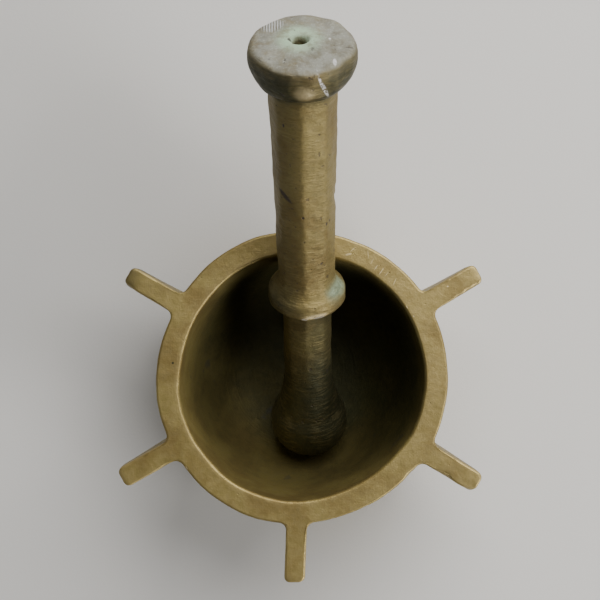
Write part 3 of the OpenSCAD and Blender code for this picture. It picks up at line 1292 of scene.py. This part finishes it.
        # One rib, the one at 150 degrees, is darker, most of all at its outer end.
        rib_top = smooth_step(62.0 * MM, 72.0 * MM, radius)
        darker_rib = bell(np.angle(np.exp(1j * (angle - math.radians(150.0)))), math.radians(9.0))
        grime_and_shade = grime_and_shade + darker_rib * (0.12 * rib_top + 0.40 * smooth_step(77.0 * MM, 84.0 * MM, radius))
        return {Mark.BARE_AND_LIT: np.clip(bare, 0.0, 1.0), Mark.DEEP_AND_SHADE: deep,
                Mark.GRIME_AND_SHADE: np.clip(grime_and_shade + dirt_and_shade, 0.0, 1.0)}

    def build(self) -> bpy.types.Object:
        """Make the casting, dress it and put it on its body.

        Returns:
            The finished piece.
        """
        above = np.concatenate([self.bowl_rings(), self.rim_rings(), self.side_rings()])
        ideal = np.concatenate([above, self.foot_rings(above[-1, :, :2])])
        beyond = np.hypot(ideal[..., 0], ideal[..., 1]) - self.foot_r
        low = smooth_step(3.0 * MM, 0.0, ideal[..., 2])
        ideal[..., 2] += self.rib_lift * smooth_step(0.0, 1.5 * MM, beyond) * low
        rings = self.age(ideal)
        surface = RingSurface(rings, rings[0].mean(axis=0), rings[-1].mean(axis=0), self.wear(ideal))
        piece = surface.make("mortar_casting")
        piece.data.materials.append(MortarBronze().build())
        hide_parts("mortar_vessel", *(f"mortar_rib_{k + 1}" for k in range(self.rib_count)))
        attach(piece, Body.MORTAR.value)
        return piece


@dataclass(frozen=True)
class Nick:
    """A nick in the side of the pestle, in millimetres.

    Attributes:
        height: Its height above the head's centre.
        degrees: Its angle from the side that faces up, anticlockwise, in degrees.
        size: Radius of the nick.
        depth: How far it goes in. A bump has a depth below 0.
    """

    height: float
    degrees: float
    size: float
    depth: float


@dataclass
class PestleCasting:
    """The pestle: head, shank, collar, faceted grip and flat butt, as one closed casting.

    It is worked out upright, with the head's centre at the origin, and then leaned into the
    bowl. Its -Y side comes to face up.

    Attributes:
        head_r: Radius of the head.
        head_end: Angle above the level at which the head's ball ends, in degrees.
        head_power: How fast the shank swells into the head.
        flare_at: Height at which the shank starts to swell.
        shank_r: Radius of the shank.
        collar_r: Radius of the collar.
        collar_at: Height of the collar's middle.
        collar_half: Half the collar's height.
        collar_edge: Radius of the collar's edges.
        collar_turn: Angle at which the collar's upper edge meets its flare, in degrees.
        flare_h: Height of the flare above the collar.
        flare_power: How fast the flare widens.
        grip_low_r: Radius of the grip above the collar.
        grip_top_r: Radius of the grip at the neck.
        neck_at: Height of the neck.
        butt_h: Length of the butt.
        butt_r: Largest radius of the butt.
        butt_swell: Height over which the butt swells out from the neck.
        butt_edge: Radius of the butt's upper edge.
        butt_dome: Rise of its face in the middle.
        butt_tilt: Slope of its face towards -Y.
        pit_r: Radius of the casting pit.
        pit_depth: Depth of the pit.
        pit_off: How far the pit is off the axis.
        lean: Lean from upright, in degrees.
        turn: Turn of the leaning pestle about the upright axis, in degrees.
        head_x: Place of the head's centre across the mortar.
        head_y: Place of the head's centre along the lean.
        head_drop: Depth of the head's centre below the rim.
        facets: Number of flats.
        facet_turn: Angle of a corner between two flats, in degrees.
        grip_flat: How flat the grip's flats are, from 0 to 1.
        shank_flat: How flat the shank's are.
        collar_flat: How flat the collar's are.
        butt_flat: How flat the butt's are.
        around: Points in a ring.
        nicks: Nicks in its sides.
    """

    head_r: float = 16.4 * MM
    head_end: float = 32.0
    head_power: float = 2.2
    flare_at: float = 33.0 * MM
    shank_r: float = 10.0 * MM
    collar_r: float = 16.0 * MM
    collar_at: float = 72.0 * MM
    collar_half: float = 4.0 * MM
    collar_edge: float = 3.0 * MM
    collar_turn: float = 50.0
    flare_h: float = 5.7 * MM
    flare_power: float = 1.8
    grip_low_r: float = 11.4 * MM
    grip_top_r: float = 13.2 * MM
    neck_at: float = 173.0 * MM
    butt_h: float = 18.0 * MM
    butt_r: float = 20.4 * MM
    butt_swell: float = 11.0 * MM
    butt_edge: float = 3.4 * MM
    butt_dome: float = 1.4 * MM
    butt_tilt: float = 0.07
    pit_r: float = 2.4 * MM
    pit_depth: float = 4.2 * MM
    pit_off: float = 0.9 * MM
    lean: float = 50.0
    turn: float = 1.3
    head_x: float = 3.4 * MM
    head_y: float = -19.4 * MM
    head_drop: float = 43.3 * MM
    facets: int = 8
    facet_turn: float = -94.0
    grip_flat: float = 0.62
    shank_flat: float = 0.42
    collar_flat: float = 0.30
    butt_flat: float = 0.35
    around: int = 232
    nicks: tuple[Nick, ...] = (
        Nick(119.5, 84.0, 1.5, 1.3), Nick(124.0, 82.0, 2.2, 0.5), Nick(113.5, -52.0, 1.4, 0.5),
        Nick(115.5, -44.0, 1.3, 0.55), Nick(111.5, -36.0, 1.2, 0.45), Nick(88.0, 34.0, 0.9, 0.35),
        Nick(180.0, 26.0, 3.4, 0.9), Nick(186.0, 52.0, 3.6, 0.9), Nick(184.0, -52.0, 4.0, 0.8),
        Nick(180.0, -15.0, 3.0, 0.5), Nick(188.0, -135.0, 3.0, 1.0), Nick(68.2, -4.0, 2.4, -0.8))

    def arc(self, radius: float, height: float, size: float, start: float, end: float,
            steps: int) -> tuple[Array, Array]:
        """Points of an arc in the casting's section.

        Args:
            radius: Distance of the arc's centre from the axis.
            height: Height of the arc's centre.
            size: Radius of the arc.
            start: Angle of the first point above the level, in degrees.
            end: Angle of the last point.
            steps: Number of points.

        Returns:
            Radii and heights of the points.
        """
        turn = np.radians(np.linspace(start, end, steps))
        return radius + size * np.cos(turn), height + size * np.sin(turn)

    def profile(self) -> tuple[Array, Array]:
        """Radius and height of each ring, from the middle of the butt down to the head's tip.

        Returns:
            Radii and heights.
        """
        top = self.neck_at + self.butt_h
        face_r = self.butt_r - self.butt_edge
        edge_z = top - self.butt_dome - self.butt_edge
        face = np.concatenate([np.linspace(0.25 * MM, 5.0 * MM, 22), np.linspace(5.6 * MM, face_r, 18)])
        runs = [(face, top - self.butt_dome * (face / face_r) ** 2)]
        runs.append(self.arc(face_r, edge_z, self.butt_edge, 82.0, 0.0, 10))
        turn = np.radians(np.linspace(90.0, 0.0, 22))
        runs.append((self.grip_top_r + (self.butt_r - self.grip_top_r) * np.sin(turn),
                     self.neck_at + self.butt_swell * (1.0 - np.cos(turn))))
        low, high = self.collar_at - self.collar_half, self.collar_at + self.collar_half
        round_r = self.collar_r - self.collar_edge
        turned = math.radians(self.collar_turn)
        flare_r = round_r + self.collar_edge * math.cos(turned)
        flare_z = high - self.collar_edge + self.collar_edge * math.sin(turned)
        t = np.linspace(0.0, 1.0, 86)[1:-1]
        grip_end = flare_z + self.flare_h
        runs.append((self.grip_top_r + (self.grip_low_r - self.grip_top_r) * t,
                     self.neck_at + (grip_end - self.neck_at) * t))
        t = np.linspace(0.0, 1.0, 13)
        runs.append((self.grip_low_r + (flare_r - self.grip_low_r) * t ** self.flare_power,
                     grip_end - self.flare_h * t))
        edge = self.collar_edge
        runs.append(self.arc(round_r, high - edge, edge, self.collar_turn - 5.0, 0.0, 8))
        runs.append(self.arc(round_r, low + edge, edge, 0.0, -90.0, 10))
        runs.append((np.array([12.0, 11.2, 10.5, 10.1]) * MM, low - np.array([0.0, 0.05, 0.25, 0.7]) * MM))
        t = np.linspace(0.0, 1.0, 32)[1:]
        runs.append((self.shank_r + 0.0 * t, low - 1.2 * MM + (self.flare_at - low + 1.2 * MM) * t))
        joint_r = self.head_r * math.cos(math.radians(self.head_end))
        joint_z = self.head_r * math.sin(math.radians(self.head_end))
        t = np.linspace(1.0, 0.0, 22)[1:]
        runs.append((self.shank_r + (joint_r - self.shank_r) * (1.0 - t) ** self.head_power,
                     joint_z + (self.flare_at - joint_z) * t))
        runs.append(self.arc(0.0, 0.0, self.head_r, self.head_end - 4.0, -88.5, 31))
        return (np.concatenate([radius for radius, _ in runs]),
                np.concatenate([height for _, height in runs]))

    def facet_share(self, angle: Array, sharpness: float) -> Array:
        """Radius of a polygon with rounded corners, as a share of its corner radius.

        It is one over the p-th root of the sum, over the flats, of the cosine of the angle
        from each flat's middle to the power p. A larger p makes sharper corners.

        Args:
            angle: Angles round the axis, in radians.
            sharpness: The power p.

        Returns:
            Shares up to 1.
        """
        step = 2.0 * math.pi / self.facets
        middles = math.radians(self.facet_turn) + step * (np.arange(self.facets) + 0.5)
        cosines = np.maximum(np.cos(angle[..., None] - middles), 0.0)
        radius = np.sum(cosines ** sharpness, axis=-1) ** (-1.0 / sharpness)
        corner = (2.0 * math.cos(step / 2.0) ** sharpness) ** (-1.0 / sharpness)
        return radius / corner

    def upright(self) -> tuple[Array, Array]:
        """The casting upright, true and then aged.

        Returns:
            Ring points of the true round form and of the aged, faceted one.
        """
        radius, height = self.profile()
        angle = np.linspace(0.0, 2.0 * math.pi, self.around, endpoint=False)
        turn = np.broadcast_to(angle, (len(radius), len(angle)))
        radius, z = radius[:, None] + 0.0 * turn, height[:, None] + 0.0 * turn
        ideal = np.stack([radius * np.cos(turn), radius * np.sin(turn), z], axis=-1)
        grip = smooth_step(self.collar_at + 2.0 * MM, self.collar_at + 12.0 * MM, z) * smooth_step(
            self.neck_at + 1.0 * MM, self.neck_at - 5.0 * MM, z)
        shank = smooth_step(self.flare_at - 8.0 * MM, self.flare_at + 6.0 * MM, z) * smooth_step(
            self.collar_at - 3.0 * MM, self.collar_at - 5.0 * MM, z)
        collar = bell(z - self.collar_at, 5.0 * MM)
        butt = smooth_step(self.neck_at - 1.0 * MM, self.neck_at + 5.0 * MM, z)
        flat = np.clip(self.grip_flat * grip + self.shank_flat * shank, 0.0, 1.0)
        share = 1.0 - flat * (1.0 - self.facet_share(turn, 26.0))
        share = share - self.collar_flat * collar * (1.0 - self.facet_share(turn + 0.22, 22.0))
        share = share - self.butt_flat * butt * (1.0 - self.facet_share(turn - 0.10, 20.0))
        lumps = (Unevenness(15.0 * MM, 0.12 * MM, 21).at(ideal)
                 + butt * Unevenness(12.0 * MM, 0.34 * MM, 25).at(ideal)
                 + Unevenness(6.0 * MM, 0.06 * MM, 22).at(ideal)
                 + Unevenness(2.6 * MM, 0.025 * MM, 23).at(ideal))
        reach = np.maximum(radius, 1.0 * MM)
        near_axis = smooth_step(0.0, 6.0 * MM, radius)
        grow = share + (np.minimum(lumps, 0.30 * MM) - 0.06 * MM) * near_axis / reach
        aged = ideal.copy()
        aged[..., :2] *= grow[..., None]
        end = smooth_step(self.neck_at + self.butt_h - 5.0 * MM, self.neck_at + self.butt_h, z)
        face_lumps = Unevenness(11.0 * MM, 0.20 * MM, 24).at(ideal)
        aged[..., 2] += end * (face_lumps + self.butt_tilt * ideal[..., 1])
        pit = np.hypot((aged[..., 0] + self.pit_off) / 1.2, aged[..., 1])
        aged[..., 2] -= end * self.pit_depth * np.exp(-(pit / self.pit_r) ** 3.5)
        for dent in self.dents():
            aged = dent.press(aged)
        return ideal, aged

    def dents(self) -> list[Dent]:
        """The nicks, each on the surface where it lies.

        Returns:
            The dents, on the upright casting.
        """
        made = []
        for nick in self.nicks:
            z, depth = nick.height * MM, nick.depth * MM
            t = np.clip((z - self.collar_at) / (self.neck_at - self.collar_at), 0.0, 1.0)
            radius = self.grip_low_r + (self.grip_top_r - self.grip_low_r) * float(t)
            if z > self.neck_at + 3.0 * MM:
                radius = self.butt_r - 1.0 * MM
            if abs(z - self.collar_at) < self.collar_half:
                radius = self.collar_r
            a = math.radians(nick.degrees - 90.0)
            push = (-depth * math.cos(a), -depth * math.sin(a), 0.0)
            made.append(Dent((radius * math.cos(a), radius * math.sin(a), z), nick.size * MM, push))
        return made

    def wear(self, ideal: Array) -> dict[Mark, Array]:
        """Where the casting is rubbed, bloomed, green and dirty, and where light and shade are painted,
        from its true form.

        The butt's face and the pit's ring are pale and green. The collar has a green patch and a rubbed
        edge with a painted highlight. Painted shade lies in the creases, low on the pestle and along both
        sides; the pit and one half of the butt's face are darker.

        Args:
            ideal: Ring points of the true form.

        Returns:
            The weight of each mark.
        """
        x, y, z = ideal[..., 0], ideal[..., 1], ideal[..., 2]
        angle = np.arctan2(y, x)
        top = self.neck_at + self.butt_h
        face = smooth_step(top - 3.8 * MM, top - 0.9 * MM, z)
        shoulder = smooth_step(self.neck_at + 9.0 * MM, top - 3.0 * MM, z)
        centre = np.hypot(x + self.pit_off, y)
        shoulder_band = smooth_step(self.neck_at, self.neck_at + 3.0 * MM, z) * (1.0 - face)
        ring = bell(centre - 4.2 * MM, 3.8 * MM) * face * (0.85 + 0.15 * np.cos(angle - 2.4))
        pit = smooth_step(3.3 * MM, 2.0 * MM, centre) * face
        patch = bell(z - (self.collar_at + 4.8 * MM), 2.4 * MM) * facing(angle, -0.35, 0.78, 1.0)
        # The collar's lower edge facing the front: rubbed bare, with a painted highlight.
        edge_wear_and_highlight = bell(z - (self.collar_at - 3.0 * MM), 1.8 * MM) * facing(angle, -1.2, 0.1, 0.85)
        green = np.clip(1.10 * ring + 0.52 * patch + 0.12 * face, 0.0, 1.0) * (1.0 - pit)
        pale = np.clip(0.80 * face + 0.12 * shoulder, 0.0, 1.0) * (1.0 - pit)
        grip = smooth_step(self.collar_at, self.collar_at + 12.0 * MM, z) * (1.0 - shoulder)
        # The butt's side facing the front is brighter: rubbed bare, and partly painted light.
        rubbed = shoulder_band * bell(z - (self.neck_at + 3.0 * MM), 4.0 * MM)
        rubbed = rubbed * facing(angle, -1.45, 0.5, 1.0)
        bare = np.clip(0.30 * grip + 0.9 * edge_wear_and_highlight + 0.35 * bell(z - self.collar_at, 6.0 * MM)
                       + 0.8 * rubbed, 0.0, 1.0)
        # Painted shade: the head and the lower shank are darker low in the bowl, and darker still below
        # the collar.
        low = smooth_step(52.0 * MM, 22.0 * MM, z)
        shank = smooth_step(self.collar_at, self.collar_at - 8.0 * MM, z)
        # Painted shade in the creases under the butt and under the collar.
        under = z - self.collar_at + self.collar_half + 1.0 * MM
        crease_shade = bell(z - self.neck_at, 2.4 * MM) + 0.6 * bell(under, 1.2 * MM)
        # The left side faces away from the light and the right side faces towards it; both take painted
        # shade.
        left = facing(angle, -2.75, 0.30, 0.95)
        right = facing(angle, -0.5, 0.2, 0.9)
        # One half of the butt's face is darker.
        darker_face_half = face * smooth_step(-2.0 * MM, 20.0 * MM, x - y)
        # Painted shade on the butt's side: darker all round, most of all on the left and the right.
        shade = shoulder_band * (0.20 + 0.55 * facing(angle, -2.6, 0.15, 0.9)
                                 + 0.50 * facing(angle, -0.45, 0.5, 0.95))
        # Painted shade on the collar's left, and a darker tone for the green patch.
        shade = shade + 0.85 * bell(z - self.collar_at - 1.0 * MM, 5.0 * MM) * left + 0.65 * patch
        lower = (1.0 - grip) * (1.0 - shoulder_band)
        # Painted shade along both sides of the grip, and on the right below it.
        shade = shade + grip * (0.48 * left + 0.26 * right) + 0.24 * right * lower
        # Painted shade, with the pit and one half of the butt's face darker.
        grime_and_shade = 0.40 * low + 0.50 * shank + 0.78 * crease_shade + 0.9 * pit + shade + 0.34 * darker_face_half
        grime_and_shade = np.clip(grime_and_shade, 0.0, 1.0)
        # The deep mark here is painted shade low on the pestle.
        return {Mark.BARE_AND_LIT: bare, Mark.PALE: pale, Mark.GREEN: green, Mark.GRIME_AND_SHADE: grime_and_shade,
                Mark.DEEP_AND_SHADE: 0.25 * low}

    def leaned(self, points: Array) -> Array:
        """Upright points leaned towards +Y, turned a little and set down in the bowl.

        Args:
            points: Array (..., 3) on the upright casting.

        Returns:
            Points in the row frame.
        """
        lean, turn = math.radians(self.lean), math.radians(self.turn)
        x, y, z = points[..., 0], points[..., 1], points[..., 2]
        y, z = y * math.cos(lean) + z * math.sin(lean), z * math.cos(lean) - y * math.sin(lean)
        x, y = x * math.cos(turn) - y * math.sin(turn), x * math.sin(turn) + y * math.cos(turn)
        rim_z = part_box("mortar_vessel")[1].z
        return np.stack([x + self.head_x, y + self.head_y, z + rim_z - self.head_drop], axis=-1)

    def build(self) -> bpy.types.Object:
        """Make the casting, dress it and put it on its body.

        Returns:
            The finished piece.
        """
        ideal, aged = self.upright()
        rings = self.leaned(aged)
        surface = RingSurface(rings, rings[0].mean(axis=0), rings[-1].mean(axis=0), self.wear(ideal), aged)
        piece = surface.make("pestle_casting")
        piece.data.materials.append(PestleBronze().build())
        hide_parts("pestle")
        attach(piece, Body.PESTLE.value)
        return piece


@dataclass(frozen=True)
class SoftBox:
    """One rectangular studio light.

    Attributes:
        name: Name of the light.
        place: Its centre.
        size: Length of its sides.
        power: Its power in watts.
        colour: Its colour.
    """

    name: str
    place: tuple[float, float, float]
    size: float
    power: float
    colour: Colour = (1.0, 1.0, 1.0)

    def hang(self, target: Vector) -> None:
        """Add the light, facing target.

        Args:
            target: Point it is aimed at.
        """
        data = bpy.data.lights.new(self.name, "AREA")
        data.size = self.size
        data.energy = self.power
        data.color = self.colour
        light = bpy.data.objects.new(self.name, data)
        light.location = self.place
        light.rotation_euler = (target - Vector(self.place)).to_track_quat("-Z", "Y").to_euler()
        bpy.context.scene.collection.objects.link(light)


@dataclass
class Studio:
    """Pale floor, soft light and a camera that looks straight down over the mortar.

    Attributes:
        rim_r: Outer radius of the rim.
        camera_rise: Height of the camera above the rim, in rim radii.
        frame_width: Width of the view at the rim, in rim radii.
        camera_x: The camera's place across the mortar's axis.
        camera_y: The camera's place towards the pestle's butt.
        floor_half: Half the floor's width.
        sky: Colour of the even light from all round.
        sky_strength: Strength of that light.
        aim: Point that the soft boxes face.
        lights: The soft boxes.
    """

    rim_r: float = 60.0 * MM
    camera_rise: float = 12.0
    frame_width: float = 4.0956
    camera_x: float = -0.6 * MM
    camera_y: float = 31.7 * MM
    floor_half: float = 3.0
    sky: Colour = (0.86, 0.89, 0.93)
    sky_strength: float = 0.035
    aim: tuple[float, float, float] = (0.0, 0.03, 0.05)
    lights: tuple[SoftBox, ...] = (
        SoftBox("right_key", (0.84, -0.56, 0.56), 0.50, 9.0, (1.0, 0.98, 0.95)),
        SoftBox("back_key", (0.36, 0.73, 0.80), 1.20, 20.5, (1.0, 0.98, 0.95)),
        SoftBox("left_fill", (-1.20, -0.50, 0.35), 0.8, 1.2, (0.95, 0.98, 1.0)),
        SoftBox("front_fill", (0.45, -1.25, 0.32), 0.4, 2.2, (0.97, 0.98, 1.0)),
    )

    def set_camera(self) -> None:
        """Add the camera and make it the scene's."""
        rim_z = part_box("mortar_vessel")[1].z
        data = bpy.data.cameras.new("camera")
        data.angle = 2.0 * math.atan(self.frame_width / 2.0 / self.camera_rise)
        camera = bpy.data.objects.new("camera", data)
        camera.location = (self.camera_x, self.camera_y, rim_z + self.camera_rise * self.rim_r)
        bpy.context.scene.collection.objects.link(camera)
        bpy.context.scene.camera = camera

    def lay_floor(self) -> None:
        """Add the floor under the foot."""
        half = self.floor_half
        corners = [(-half, -half, 0.0), (half, -half, 0.0), (half, half, 0.0), (-half, half, 0.0)]
        mesh = bpy.data.meshes.new("floor")
        mesh.from_pydata(corners, [], [(0, 1, 2, 3)])
        mesh.materials.append(PaleFloor().build())
        floor = bpy.data.objects.new("floor", mesh)
        bpy.context.scene.collection.objects.link(floor)

    def light(self) -> None:
        """Set the world's even light and hang the soft boxes."""
        world = bpy.data.worlds.new("studio")
        world.use_nodes = True
        back = world.node_tree.nodes["Background"]
        back.inputs["Color"].default_value = (*self.sky, 1.0)
        back.inputs["Strength"].default_value = self.sky_strength
        bpy.context.scene.world = world
        for box in self.lights:
            box.hang(Vector(self.aim))

    def build(self) -> None:
        """Set up the camera, the floor and the light."""
        self.set_camera()
        self.lay_floor()
        self.light()


def main() -> None:
    """Build the studio and both castings, and report each piece."""
    logging.basicConfig(level=logging.INFO, format="%(name)s: %(message)s")
    Studio().build()
    for casting in (MortarCasting(), PestleCasting()):
        piece = casting.build()
        LOG.info("%s: %d faces, %s", piece.name, len(piece.data.polygons),
                 [round(side / MM, 1) for side in piece.dimensions])


if __name__ == "__main__":
    main()
